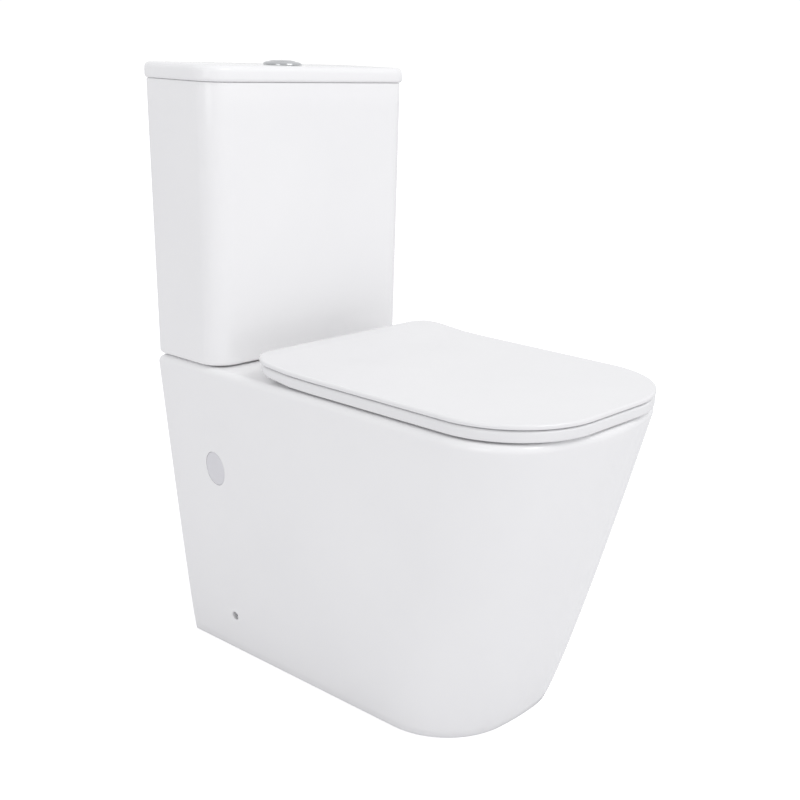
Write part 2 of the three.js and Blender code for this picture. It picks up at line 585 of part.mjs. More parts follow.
function hinge(name, side) {
  const x = (side * HINGE.spacing) / 2;
  const studAt = HINGE.fromWall + 1;
  const y = fromWall(HINGE.fromWall);
  const foot = uprightRod(12, 448.1, 449.8, x, studAt, 20);
  const column = box(x - 9.5, x + 9.5, y - 6, y + 4.5, 449, HINGE.height);
  const barrel = crossRod(6.2, x - 9.5, x + 9.5, HINGE.fromWall, HINGE.height);
  const post = cut(joined(foot, column, barrel),
    crossRod(HINGE.bore, x - 12, x + 12, HINGE.fromWall, HINGE.height),
    uprightRod(HINGE.stud + GAP, 440, 456, x, studAt, 12));
  add(`hinge_post_${name}`, geometryOf(post), 'chrome');
  add(`hinge_pin_${name}`, crossRod(HINGE.pin, side * 52, side * 103.7, HINGE.fromWall, HINGE.height, 14), 'steel');
  add(`hinge_stud_${name}`, uprightRod(HINGE.stud, 396, 455.6, x, studAt, 12), 'steel');
  add(`hinge_washer_${name}`, washer(3.4, 12, 445.8, 447.8, x, studAt), 'rubber');
  const nut = [[3.4, 408], [8, 408], [8, 416], [14, 424], [14, 431.2], [3.4, 431.2]];
  add(`hinge_nut_${name}`, turned(nut, x, studAt, 16), 'plastic');
}

function buffers() {
  const places = [
    ['front_left', -105, 610], ['front_right', 105, 610], ['rear_left', -140, 330], ['rear_right', 140, 330],
  ];
  for (const [name, x, distance] of places) {
    const y = fromWall(distance);
    add(`seat_buffer_${name}`, box(x - 7, x + 7, y - 11, y + 11, PAN.height + GAP, SEAT.base - GAP), 'buffer');
  }
  for (const [name, side] of SIDES) {
    add(`lid_buffer_${name}`, uprightRod(5, SEAT.top + GAP, LID.base + 2.0, side * 140, 560, 14), 'buffer');
  }
}

pan();
for (const [name, side] of SIDES) {
  accessCap(name, side);
  floorFixing(name, side);
  couplingBolt(name, side);
  hinge(name, side);
}
cisternTank();
cisternLid();
couplingGasket();
flushValve();
buttonBezel();
flushButton('full', 1, STEM.full);
flushButton('half', -1, STEM.half);
fillValve();
seatRing();
seatLid();
buffers();

export default toilet;
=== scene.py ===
# Close coupled toilet: white vitreous china pan and cistern, slim moulded seat, chrome push button.
# Sizes in the sections are millimetres; every mesh is made in metres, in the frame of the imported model.
import math

import bpy
import numpy as np
from mathutils import Matrix, Vector


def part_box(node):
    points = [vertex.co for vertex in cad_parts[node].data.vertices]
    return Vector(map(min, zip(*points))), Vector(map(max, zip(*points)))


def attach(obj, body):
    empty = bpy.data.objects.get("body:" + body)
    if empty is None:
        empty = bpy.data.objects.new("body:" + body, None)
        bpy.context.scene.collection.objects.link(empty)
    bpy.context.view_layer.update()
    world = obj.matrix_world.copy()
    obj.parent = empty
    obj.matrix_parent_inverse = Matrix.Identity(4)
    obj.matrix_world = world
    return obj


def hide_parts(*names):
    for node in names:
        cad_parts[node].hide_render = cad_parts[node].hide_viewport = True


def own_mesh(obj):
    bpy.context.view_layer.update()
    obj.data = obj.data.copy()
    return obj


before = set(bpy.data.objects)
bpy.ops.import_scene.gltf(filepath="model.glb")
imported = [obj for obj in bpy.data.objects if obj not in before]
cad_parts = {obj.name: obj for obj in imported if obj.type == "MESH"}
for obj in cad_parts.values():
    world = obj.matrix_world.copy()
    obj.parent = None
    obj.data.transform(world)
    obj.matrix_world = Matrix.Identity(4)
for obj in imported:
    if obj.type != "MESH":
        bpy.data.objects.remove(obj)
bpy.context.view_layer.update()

# ---- viewpoint, floor and light ----
# The toilet is seen from its left and front, from just above the height of the cistern lid. It stands on a
# plain pale studio floor, in a soft dome of light, with a large lamp high in front and a weaker one at its left.
stand = Vector((-1.1777, -1.0785, 0.8717))
heading, drop, lean = (math.radians(a) for a in (51.13, 19.15, 2.27))
focal = 54.45
rise_fall = (-0.1070, 0.0835)

forward = Vector((math.sin(heading) * math.cos(drop), math.cos(heading) * math.cos(drop), -math.sin(drop)))
level = Vector((math.cos(heading), -math.sin(heading), 0))
upright = level.cross(forward)
right = level * math.cos(lean) + upright * math.sin(lean)
up = upright * math.cos(lean) - level * math.sin(lean)
camera = bpy.data.objects.new("camera", bpy.data.cameras.new("camera"))
camera.data.lens = focal
camera.data.sensor_width = 36
camera.data.shift_x, camera.data.shift_y = rise_fall
camera.matrix_world = Matrix((
    (right.x, up.x, -forward.x, stand.x),
    (right.y, up.y, -forward.y, stand.y),
    (right.z, up.z, -forward.z, stand.z),
    (0, 0, 0, 1),
))
bpy.context.scene.collection.objects.link(camera)
bpy.context.scene.camera = camera
bpy.context.scene.view_settings.view_transform = "Standard"


def node_material(name):
    material = bpy.data.materials.new(name)
    material.use_nodes = True
    nodes, links = material.node_tree.nodes, material.node_tree.links
    shader = next(n for n in nodes if n.type == "BSDF_PRINCIPLED")
    return material, nodes, links, shader


def studio_floor():
    reach, glow_strength = 30, 0.5
    mesh = bpy.data.meshes.new("studio_floor")
    mesh.from_pydata([(-reach, -reach, 0), (reach, -reach, 0), (reach, reach, 0), (-reach, reach, 0)], [],
                     [(0, 1, 2, 3)])
    floor = bpy.data.objects.new("studio_floor", mesh)
    bpy.context.scene.collection.objects.link(floor)
    material, nodes, links, shader = node_material("pale_floor")
    shader.inputs["Base Color"].default_value = (0.82, 0.82, 0.83, 1)
    shader.inputs["Roughness"].default_value = 0.9
    shader.inputs["Specular IOR Level"].default_value = 0
    output = next(n for n in nodes if n.type == "OUTPUT_MATERIAL")
    glow = nodes.new("ShaderNodeEmission")
    glow.inputs["Strength"].default_value = glow_strength
    both = nodes.new("ShaderNodeAddShader")
    ray = nodes.new("ShaderNodeLightPath")
    pale = nodes.new("ShaderNodeMixShader")
    links.new(shader.outputs["BSDF"], both.inputs[0])
    links.new(glow.outputs["Emission"], both.inputs[1])
    links.new(ray.outputs["Is Camera Ray"], pale.inputs["Fac"])
    links.new(shader.outputs["BSDF"], pale.inputs[1])
    links.new(both.outputs["Shader"], pale.inputs[2])
    links.new(pale.outputs["Shader"], output.inputs["Surface"])
    mesh.materials.append(material)


# The air is a soft dome: white where the camera sees it, and as a light dimmer on the left than on the right.
def studio_air():
    world = bpy.data.worlds.new("studio_air")
    world.use_nodes = True
    nodes, links = world.node_tree.nodes, world.node_tree.links
    lit = nodes["Background"]
    seen = nodes.new("ShaderNodeBackground")
    seen.inputs["Color"].default_value = (1, 1, 1, 1)
    seen.inputs["Strength"].default_value = 1.05
    where, parts = nodes.new("ShaderNodeTexCoord"), nodes.new("ShaderNodeSeparateXYZ")
    across = nodes.new("ShaderNodeMapRange")
    for label, value in {"From Min": -1, "From Max": 0.6, "To Min": 0.75, "To Max": 0.88}.items():
        across.inputs[label].default_value = value
    ray, mix = nodes.new("ShaderNodeLightPath"), nodes.new("ShaderNodeMixShader")
    lit.inputs["Color"].default_value = (0.985, 0.987, 1, 1)
    links.new(where.outputs["Generated"], parts.inputs["Vector"])
    links.new(parts.outputs["X"], across.inputs["Value"])
    links.new(across.outputs["Result"], lit.inputs["Strength"])
    links.new(ray.outputs["Is Camera Ray"], mix.inputs["Fac"])
    links.new(lit.outputs["Background"], mix.inputs[1])
    links.new(seen.outputs["Background"], mix.inputs[2])
    links.new(mix.outputs["Shader"], nodes["World Output"].inputs["Surface"])
    bpy.context.scene.world = world


def soft_light(name, place, aim, size, power):
    light = bpy.data.lights.new(name, "AREA")
    light.shape = "RECTANGLE"
    light.size, light.size_y = size
    light.energy = power
    lamp = bpy.data.objects.new(name, light)
    direction = Vector(aim) - Vector(place)
    lamp.matrix_world = Matrix.Translation(place) @ direction.to_track_quat("-Z", "Y").to_matrix().to_4x4()
    bpy.context.scene.collection.objects.link(lamp)


studio_floor()
studio_air()
soft_light("front_box", (0.4, -2.2, 3.2), (0, 0, 0.5), (1.8, 1.2), 30)
soft_light("left_box", (-3.2, -0.9, 1.6), (0, 0, 0.6), (1.6, 2.4), 12)

# ---- the pan ----
# One piece of slip-cast vitreous china: a tapered skirt open at the back and below, a flat rim and shelf,
# the bowl and its trap inside, glazed white all over. The cistern's water comes in through the shelf.
MM = 0.001


def box_mm(node):
    low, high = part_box(node)
    return np.array(low) / MM, np.array(high) / MM


def mesh_piece(name, points, faces, sharp=38):
    mesh = bpy.data.meshes.new(name)
    mesh.from_pydata((np.asarray(points, float) * MM).tolist(), [], faces)
    mesh.update()
    smooth_but(mesh, sharp)
    piece = bpy.data.objects.new(name, mesh)
    bpy.context.scene.collection.objects.link(piece)
    return piece


def smooth_but(mesh, sharp):
    mesh.shade_smooth()
    mesh.set_sharp_from_angle(angle=math.radians(sharp))


# Skins rings of equal length that each go anticlockwise round the direction of travel.
def loft(name, rings, closed=False, sharp=38):
    rings = [np.asarray(r, float) for r in rings]
    count, last = len(rings[0]), len(rings)
    points = list(np.concatenate(rings))
    here = np.arange(count)
    after = (here + 1) % count
    faces = []
    for r in range(last if closed else last - 1):
        low, high = r * count, ((r + 1) % last) * count
        faces += [(low + a, low + b, high + b, high + a) for a, b in zip(here, after)]
    if not closed:
        for r, flip in ((0, True), (last - 1, False)):
            points.append(rings[r].mean(0))
            hub = len(points) - 1
            faces += [(hub, r * count + (b if flip else a), r * count + (a if flip else b))
                      for a, b in zip(here, after)]
    return mesh_piece(name, points, [tuple(int(i) for i in f) for f in faces], sharp)


# Joins tools to a body or cuts them from it, and leaves a plain mesh.
def carve(body, tools, how="DIFFERENCE", sharp=38):
    for tool in tools:
        modifier = body.modifiers.new("carve", "BOOLEAN")
        modifier.operation = how
        modifier.solver = "MANIFOLD"
        modifier.object = tool
    bpy.context.view_layer.update()
    mesh = bpy.data.meshes.new_from_object(body.evaluated_get(bpy.context.evaluated_depsgraph_get()))
    body.modifiers.clear()
    mesh.name = body.name
    body.data = mesh
    smooth_but(mesh, sharp)
    for tool in tools:
        bpy.data.objects.remove(tool)
    return body


def arc(cx, cy, radius, start, end, steps):
    a = np.radians(np.linspace(start, end, steps + 1))
    return np.stack([cx + radius * np.cos(a), cy + radius * np.sin(a)], 1)


# Seen from above: straight sides, rounded rear corners, large front corners and a front that bows out.
def plan(half, back, front, rear_radius, front_radius, bow=0.0, steps=24):
    side = half - front_radius
    slope = math.degrees(math.atan2(2 * bow, side))
    corner = arc(side, front + bow + front_radius, front_radius, slope - 90, 0, steps)
    rear = arc(half - rear_radius, back - rear_radius, rear_radius, 0, 90, 12)
    t = np.linspace(0, 1, 9)[:-1]
    nose = np.stack([t * corner[0, 0], front + (corner[0, 1] - front) * t * t], 1)
    flank = np.stack([np.full(7, half), np.linspace(corner[-1, 1], rear[0, 1], 9)[1:-1]], 1)
    back_edge = np.stack([np.linspace(rear[-1, 0], 0, 7)[1:], np.full(6, back)], 1)
    half_way = np.concatenate([nose, corner, flank, rear, back_edge])
    mirror = half_way[1:-1][::-1] * [-1, 1]
    return np.concatenate([half_way, mirror])


def at_height(outline, z):
    return np.column_stack([outline, np.broadcast_to(z, len(outline))])


# An oval between an ellipse and a rectangle.
def oval(half_width, half_length, centre, z, count=112, squareness=2.5):
    a = np.linspace(0, 2 * math.pi, count, endpoint=False)
    x = half_width * np.sign(np.cos(a)) * np.abs(np.cos(a)) ** (2 / squareness)
    y = half_length * np.sign(np.sin(a)) * np.abs(np.sin(a)) ** (2 / squareness)
    return np.column_stack([x, centre + y, np.full(count, z)])


# A smooth curve through given stations, any number of values each.
def through(stations, steps):
    p = np.asarray(stations, float)
    p = np.concatenate([[2 * p[0] - p[1]], p, [2 * p[-1] - p[-2]]])
    t = np.linspace(0, 1, steps, endpoint=False)[:, None]
    spans = []
    for a, b, c, d in zip(p, p[1:], p[2:], p[3:]):
        spans.append(0.5 * (2 * b + (c - a) * t + (2 * a - 5 * b + 4 * c - d) * t ** 2
                            + (3 * b - a - 3 * c + d) * t ** 3))
    return np.concatenate([*spans, p[-2:-1]])


# A round pipe in the plane x = 0, along stations of (distance from the wall, height).
def pipe(name, stations, radius, steps=6, sides=48):
    line = through(stations, steps)
    line[:, 0] = wall_y - line[:, 0]
    along = np.gradient(line, axis=0)
    along /= np.linalg.norm(along, axis=1)[:, None]
    a = np.linspace(0, 2 * math.pi, sides, endpoint=False)
    rings = []
    for (y, z), (ty, tz) in zip(line, along):
        rings.append(np.column_stack([radius * np.cos(a), y - tz * radius * np.sin(a), z + ty * radius * np.sin(a)]))
    return loft(name, rings)


# A turned solid: corners of (radius, height), anticlockwise with radius to the right and height up.
def turned(name, corners, x, y, sides=64, sharp=38):
    a = np.linspace(0, 2 * math.pi, sides, endpoint=False)
    rings = [np.column_stack([x + r * np.cos(a), y + r * np.sin(a), np.full(sides, z)]) for r, z in corners]
    return loft(name, rings, closed=True, sharp=sharp)


# A round bar from low to high, its ends rounded by edge.
def rod(name, radius, low, high, sides=64, edge=0.0):
    low, high = np.asarray(low, float), np.asarray(high, float)
    along = np.array(Vector(high - low).normalized())
    across = np.array(Vector(along).orthogonal().normalized())
    other = np.cross(along, across)
    a = np.linspace(0, 2 * math.pi, sides, endpoint=False)[:, None]
    turns = np.radians(np.linspace(0, 90, 6)) if edge else [math.pi / 2]
    ends = [(low + along * edge * (1 - math.cos(t)), radius - edge * (1 - math.sin(t))) for t in turns]
    ends += [(high - along * edge * (1 - math.cos(t)), radius - edge * (1 - math.sin(t))) for t in turns[::-1]]
    return loft(name, [middle + r * (np.cos(a) * across + np.sin(a) * other) for middle, r in ends])


_, wall_y, rim_z = box_mm("pan")[1]
skirt_wall, shelf_thickness, rim_rounding = 12, 14, 11
half_base, half_top = 136.5, 181
depth_base, depth_top = 534, 660
mouth = {"half_width": 138, "half_length": 172, "centre": 446, "rounding": 9}
bowl_wall = 11
trap_line = [(372, 124), (335, 122), (298, 150), (272, 202), (236, 231), (196, 216), (160, 192), (120, 185)]
inlet_line = [(70, 414), (92, 396), (140, 390), (210, 390), (292, 394)]
shelf_centre = wall_y - 70
fixing_y, fixing_z = wall_y - 109, 60


def pan_outline(z, inset, rear=0.0):
    t = min(max(z / rim_z, 0), 1)
    grow = t ** 0.88
    half = half_base + (half_top - half_base) * grow - inset
    front = wall_y - (depth_base + (depth_top - depth_base) * grow - inset)
    radius = 107 + 2.2 * t - inset
    return at_height(plan(half, wall_y - rear, front, 6, radius, 1.4 + 10.6 * t), z)


def pan_skin():
    foot = [(0, 1.4), (0.5, 0.5), (1.5, 0)]
    side = [(z, 0) for z in np.linspace(1.5, rim_z - rim_rounding, 34)[1:]]
    turn = np.radians(np.linspace(0, 90, 10)[1:])
    edge = [(rim_z - rim_rounding * (1 - math.sin(a)), rim_rounding * (1 - math.cos(a))) for a in turn]
    rings = [pan_outline(z, inset, min(inset, 6)) for z, inset in foot + side + edge]
    return loft("pan_china", rings)


def bowl(name, grow):
    stations = [(92 - grow, 22, 24, 374), (112, 31, 33, 374), (150, 39, 43, 378), (195, 50, 60, 386),
                (240, 70, 92, 402), (300, 100, 132, 424), (365, 127, 160, 440), (415, 137, 171, 446)]
    rings = [oval(w + grow, l + grow, wall_y - c, z) for z, w, l, c in through(stations, 6)]
    width, length, centre = mouth["half_width"] + grow, mouth["half_length"] + grow, wall_y - mouth["centre"]
    if grow:
        return loft(name, rings + [oval(width, length, centre, rim_z - 8)])
    flare = mouth["rounding"]
    for a in np.radians(np.linspace(0, 90, 9)):
        out = flare * (1 - math.cos(a))
        rings.append(oval(width + out, length + out, centre, rim_z - flare * (1 - math.sin(a))))
    return loft(name, rings + [oval(width + flare, length + flare, centre, rim_z + 1)])


def doorway():
    half, top, radius = 104, 330, 30
    right_top = arc(half - radius, top - radius, radius, 0, 90, 8)
    outline = np.concatenate([[(half, -1)], right_top, right_top[::-1] * [-1, 1], [(-half, -1)]])
    return loft("doorway", [np.column_stack([outline[:, 0], np.full(len(outline), y), outline[:, 1]])
                            for y in (wall_y + 1, wall_y - 15)])


def upright_hole(x, distance, radius, low=390):
    y = wall_y - distance
    return rod("hole", radius, (x, y, low), (x, y, rim_z + 1), 40)


# The flat of the pan's side where the cap sits: its middle, and the directions along, up and out of it.
def side_place(side):
    low, high = box_mm("access_cap_right" if side > 0 else "access_cap_left")
    z = (low[2] + high[2]) / 2
    half = [pan_outline(h, 0)[:, 0].max() for h in (z - 60, z, z + 60)]
    tilt = math.atan((half[2] - half[0]) / 120)
    out = np.array([side * math.cos(tilt), 0, -math.sin(tilt)])
    upward = np.array([side * math.sin(tilt), 0, math.cos(tilt)])
    return np.array([side * half[1], (low[1] + high[1]) / 2, z]), np.cross(upward, out), upward, out


def side_oval(side, half_width, half_height, depth, count=64):
    middle, along, upward, out = side_place(side)
    a = np.linspace(0, 2 * math.pi, count, endpoint=False)[:, None]
    return middle + half_width * np.cos(a) * along + half_height * np.sin(a) * upward + depth * out


cap_half = (19.5, 25)


# A finish in nodes: cloudy shade and gloss, and a fine grain raised by grain_depth metres.
def finish(name, dark, light, rough, grain=55, grain_depth=0.00007, metal=0.0, stretch=(1, 1, 1), cloud=5):
    material, nodes, links, shader = node_material(name)
    where = nodes.new("ShaderNodeTexCoord")
    placing = nodes.new("ShaderNodeMapping")
    placing.inputs["Scale"].default_value = stretch
    clouds, grains = nodes.new("ShaderNodeTexNoise"), nodes.new("ShaderNodeTexNoise")
    shade, gloss = nodes.new("ShaderNodeValToRGB"), nodes.new("ShaderNodeMapRange")
    raised = nodes.new("ShaderNodeBump")
    clouds.inputs["Scale"].default_value, clouds.inputs["Detail"].default_value = cloud, 3
    grains.inputs["Scale"].default_value, grains.inputs["Detail"].default_value = grain, 2
    for element, place, colour in zip(shade.color_ramp.elements, (0.3, 0.7), (dark, light)):
        element.position = place
        element.color = (*colour, 1)
    gloss.inputs["To Min"].default_value, gloss.inputs["To Max"].default_value = rough
    raised.inputs["Strength"].default_value = 1
    raised.inputs["Distance"].default_value = grain_depth
    shader.inputs["Metallic"].default_value = metal
    links.new(where.outputs["Object"], placing.inputs["Vector"])
    links.new(placing.outputs["Vector"], grains.inputs["Vector"])
    links.new(where.outputs["Object"], clouds.inputs["Vector"])
    links.new(clouds.outputs["Fac"], shade.inputs["Fac"])
    links.new(grains.outputs["Fac"], gloss.inputs["Value"])
    links.new(gloss.outputs["Result"], shader.inputs["Roughness"])
    links.new(shade.outputs["Color"], shader.inputs["Base Color"])
    links.new(grains.outputs["Fac"], raised.inputs["Height"])
    links.new(raised.outputs["Normal"], shader.inputs["Normal"])
    return material


white_china = finish("white_china", (0.885, 0.882, 0.89), (0.905, 0.902, 0.908), (0.06, 0.12))


def placed(piece, material, body, slot, *nodes):
    piece.data.materials.clear()
    piece.data.materials.append(material)
    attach(piece, body)
    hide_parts(*nodes)
    return piece


hollow_top = rim_z - shelf_thickness
hollow_levels = [-1, *np.linspace(60, hollow_top - 8, 8)]
hollow_rings = [pan_outline(z, skirt_wall, skirt_wall) for z in hollow_levels]
hollow_rings.append(pan_outline(hollow_top - 2, skirt_wall + 2.5, skirt_wall + 2))
hollow_rings.append(pan_outline(hollow_top, skirt_wall + 9, skirt_wall + 6))
hollow = loft("hollow", hollow_rings)


def inner_china():
    spigot = rod("spigot", 51, (0, wall_y - 80, 185), (0, wall_y - 152, 185))
    chamber = rod("chamber", 62, (0, shelf_centre, 378), (0, shelf_centre, hollow_top + 1))
    return [bowl("bowl_shell", bowl_wall), pipe("trap_shell", trap_line, 39), spigot,
            pipe("inlet_shell", inlet_line, 34), chamber]


hollow = carve(hollow, inner_china())
rear_doorway = carve(doorway(), inner_china())
waterways = [bowl("bowl_space", 0), pipe("trap_space", trap_line, 30), pipe("inlet_space", inlet_line, 25),
             rod("spigot_space", 43, (0, wall_y - 79, 185), (0, wall_y - 132, 185)),
             upright_hole(0, 70, 50, 408), upright_hole(128, 66, 20)]
side_cuts = []
for side in (-1, 1):
    side_cuts += [upright_hole(side * 80, 70, 7), upright_hole(side * 77.5, 201, 6)]
    side_cuts.append(rod("screw_hole", 6.5, (side * 100, fixing_y, fixing_z), (side * 180, fixing_y, fixing_z), 40))
    side_cuts.append(loft("cap_seat", [side_oval(side, cap_half[0] + 0.35, cap_half[1] + 0.35, d) for d in (-2.9, 6)]))
    side_cuts.append(loft("cap_hole", [side_oval(side, cap_half[0] - 2.2, cap_half[1] - 2.2, d) for d in (-30, -2)]))
pan = carve(pan_skin(), [hollow, rear_doorway, *waterways, *side_cuts])
placed(pan, white_china, "root", "china", "pan")

# ---- access caps ----
# Oval satin caps of moulded plastic, pushed into a hole in each side of the pan. Each has a shallow dome,
# a thin flange that lies flush with the glaze, and a hollow plug with clips behind.
SIDES = (("left", -1), ("right", 1))
cap_plastic = finish("cap_plastic", (0.72, 0.715, 0.745), (0.745, 0.74, 0.77), (0.3, 0.4), grain=900,
                     grain_depth=0.00001)
cap_section = [(5, -2.5), (5, -11.5), (3.1, -11.5), (2.5, -10.9), (2.5, -2.5), (0.3, -2.5), (0, -2.2), (0, -0.8),
               (0.25, -0.3), (0.8, 0), (2, 0.12), (5, 0.3), (9, 0.45), (13, 0.53), (17, 0.56)]
for name, side in SIDES:
    cap = loft("oval_cap_" + name, [side_oval(side, cap_half[0] - i, cap_half[1] - i, d) for i, d in cap_section])
    placed(cap, cap_plastic, "root", "cap_plastic", "access_cap_" + name)

# ---- floor fixings ----
# Angle brackets of grey plastic, screwed to the floor inside the skirt. A steel screw through each side of
# the pan, in a small round hole near the floor, holds the pan to its bracket.


def rounded_rectangle(low, high, radius, steps=5):
    (x0, y0), (x1, y1) = low, high
    corners = [(x1 - radius, y0 + radius, -90), (x1 - radius, y1 - radius, 0), (x0 + radius, y1 - radius, 90),
               (x0 + radius, y0 + radius, 180)]
    return np.concatenate([arc(cx, cy, radius, start, start + 90, steps) for cx, cy, start in corners])


# A block with every edge rounded.
def block(name, low, high, radius=0.6):
    low, high = np.minimum(low, high), np.maximum(low, high)
    turns = np.radians(np.linspace(0, 90, 5))
    levels = [(radius * (1 - math.sin(t)), low[2] + radius * (1 - math.cos(t))) for t in turns]
    levels += [(i, low[2] + high[2] - z) for i, z in levels[::-1]]
    return loft(name, [at_height(rounded_rectangle(low[:2] + i, high[:2] - i, max(radius - i, 0.02) + 0.2), z)
                       for i, z in levels])


def hexagon(name, radius, low, high, x, y):
    a = np.radians(np.arange(0, 360, 60))
    edge = 0.5
    levels = [(radius - edge, low), (radius, low + edge), (radius, high - edge), (radius - edge, high)]
    return loft(name, [np.column_stack([x + r * np.cos(a), y + r * np.sin(a), np.full(6, z)]) for r, z in levels],
                sharp=20)


grey_plastic = finish("grey_plastic", (0.2, 0.21, 0.22), (0.24, 0.25, 0.26), (0.42, 0.55), grain=1200,
                      grain_depth=0.00002)
steel = finish("brushed_steel", (0.55, 0.55, 0.56), (0.66, 0.66, 0.67), (0.22, 0.4), grain=300, metal=1.0,
               grain_depth=0.000006, stretch=(1, 1, 9))
for name, side in SIDES:
    foot = block("foot", (side * 84, fixing_y - 18, 0), (side * 124, fixing_y + 18, 5))
    leg = block("leg", (side * 117, fixing_y - 18, 0), (side * 124, fixing_y + 18, 84))
    gussets = [block("gusset", (side * 105, fixing_y + s * 16.8, 3), (side * 119, fixing_y + s * 14, 15), 0.4)
               for s in (-1, 1)]
    bracket = carve(foot, [leg, *gussets], "UNION")
    carve(bracket, [rod("hole", 3.3, (side * 110, fixing_y, fixing_z), (side * 130, fixing_y, fixing_z), 32),
                    rod("hole", 3.3, (side * 100, fixing_y, -1), (side * 100, fixing_y, 8), 32)])
    bracket.name = "angle_bracket_" + name
    placed(bracket, grey_plastic, "root", "grey_plastic", "floor_bracket_" + name)

    screw = rod("pan_screw_" + name, 5.6, (side * 137.5, fixing_y, fixing_z), (side * 141, fixing_y, fixing_z), 40, 1.2)
    carve(screw, [rod("shank", 2.9, (side * 106, fixing_y, fixing_z), (side * 138.5, fixing_y, fixing_z), 32, 0.4)],
          "UNION")
    slots = [block("slot", (side * 139.3, fixing_y - a, fixing_z - b), (side * 142, fixing_y + a, fixing_z + b), 0.2)
             for a, b in ((0.7, 3), (3, 0.7))]
    carve(screw, slots)
    placed(screw, steel, "root", "steel", "side_fixing_screw_" + name)

    anchor = turned("floor_anchor_" + name, [(0.05, 0.3), (3, 0.3), (3, 5.3), (7, 5.3), (7, 7.2), (6.4, 8.2),
                                             (4.5, 9.4), (0.05, 9.5)], side * 100, fixing_y, 40)
    placed(anchor, steel, "root", "steel", "bracket_anchor_" + name)

# ---- the cistern ----
# A slip-cast box of the same white china, slightly deeper at the top than at the base, with rounded front
# corners and a soft lower edge. It stands on the pan's shelf on a rubber gasket and two bolts.
tank_low, tank_high = box_mm("cistern_tank")
tank_half, tank_wall, tank_floor = 180, 10, 12
foot_edge, brim_edge = 5, 1.6
shelf_y = wall_y - 70
fill_x, fill_y = 128, wall_y - 66


def tank_ring(z, inset, wall=0.0):
    t = (z - tank_low[2]) / (tank_high[2] - tank_low[2])
    shrink = inset + wall
    front = wall_y - (132.5 + 8.5 * t - shrink)
    return at_height(plan(tank_half - shrink, wall_y - shrink, front, max(12 - wall / 2, 4), 33 - wall, steps=18), z)


def quarter(radius, steps=8):
    return [(radius * (1 - math.cos(a)), radius * math.sin(a)) for a in np.radians(np.linspace(90, 0, steps))]


base, brim = tank_low[2], tank_high[2]
outside = [(base + foot_edge - up_by, inset) for inset, up_by in quarter(foot_edge, 8)]
outside += [(z, 0) for z in np.linspace(base + foot_edge, brim - brim_edge, 12)[1:]]
outside += [(brim - brim_edge + up_by, inset) for inset, up_by in quarter(brim_edge, 5)[::-1][1:]]
tank = loft("cistern_china", [tank_ring(z, inset) for z, inset in outside])
inner_base = base + tank_floor
inside = [(inner_base + 7 - up_by, inset) for inset, up_by in quarter(7, 7)] + [(brim + 1, 0)]
tank_holes = [rod("hole", r, (x, y, base - 1), (x, y, inner_base + 1), 48)
              for r, x, y in ((33, 0, shelf_y), (12, fill_x, fill_y), (6, -80, shelf_y), (6, 80, shelf_y))]
carve(tank, [loft("inside", [tank_ring(z, inset, tank_wall) for z, inset in inside]), *tank_holes])
placed(tank, white_china, "root", "china", "cistern_tank")

# ---- the cistern lid ----
# A flat china lid a little larger than the cistern, with rounded edges and a lip below that keeps it in place.
# A round hole in the middle takes the push button.
cover_half, cover_depth = 183.5, 144
under_edge, over_edge = 4.2, 8
cover_base, cover_top = tank_high[2] + 0.3, box_mm("cistern_lid")[1][2]


def cover_ring(z, inset):
    return at_height(plan(cover_half - inset, wall_y - inset, wall_y - cover_depth + inset, max(14 - inset, 3),
                          36 - inset, steps=20), z)


levels = [(cover_base + under_edge - up_by, inset) for inset, up_by in quarter(under_edge, 8)]
levels += [(z, 0) for z in np.linspace(cover_base + under_edge, cover_top - over_edge, 4)[1:]]
levels += [(cover_top - over_edge + up_by, inset) for inset, up_by in quarter(over_edge, 12)[::-1][1:]]
cover = loft("cistern_cover_china", [cover_ring(z, inset) for z, inset in levels])
lip = loft("lip", [cover_ring(z, 15 + i) for z, i in ((cover_base - 8, 1), (cover_base - 7, 0), (cover_base + 1, 0))])
carve(cover, [lip], "UNION")
pocket = loft("pocket", [cover_ring(z, 20) for z in (cover_base - 9, cover_top - 10)])
carve(cover, [pocket, rod("hole", 21, (0, shelf_y, cover_base), (0, shelf_y, cover_top + 1))])
placed(cover, white_china, "cistern_cover", "china", "cistern_lid")

# ---- the push button ----
# A low chromed dome in two parts: a wide bezel held from below by a plastic nut, and in it a round button
# split into a large and a small half, each on its own spring, with a rod down to the flush valve.
chrome = finish("chrome", (0.56, 0.57, 0.58), (0.64, 0.65, 0.66), (0.05, 0.12), grain=240, metal=1.0,
                grain_depth=0.000003)
white_plastic = finish("white_plastic", (0.66, 0.665, 0.66), (0.7, 0.705, 0.7), (0.35, 0.5), grain=1100,
                       grain_depth=0.00002)


def geometry_tree(name, inputs):
    tree = bpy.data.node_groups.new(name, "GeometryNodeTree")
    for label, kind in inputs:
        tree.interface.new_socket(label, in_out="INPUT", socket_type="NodeSocket" + kind)
    tree.interface.new_socket("Geometry", in_out="OUTPUT", socket_type="NodeSocketGeometry")
    given, result = tree.nodes.new("NodeGroupInput"), tree.nodes.new("NodeGroupOutput")
    whole, painted = tree.nodes.new("GeometryNodeRealizeInstances"), tree.nodes.new("GeometryNodeSetMaterial")
    tree.links.new(whole.outputs["Geometry"], painted.inputs["Geometry"])
    tree.links.new(given.outputs["Material"], painted.inputs["Material"])
    tree.links.new(painted.outputs["Geometry"], result.inputs["Geometry"])
    return tree, given, whole


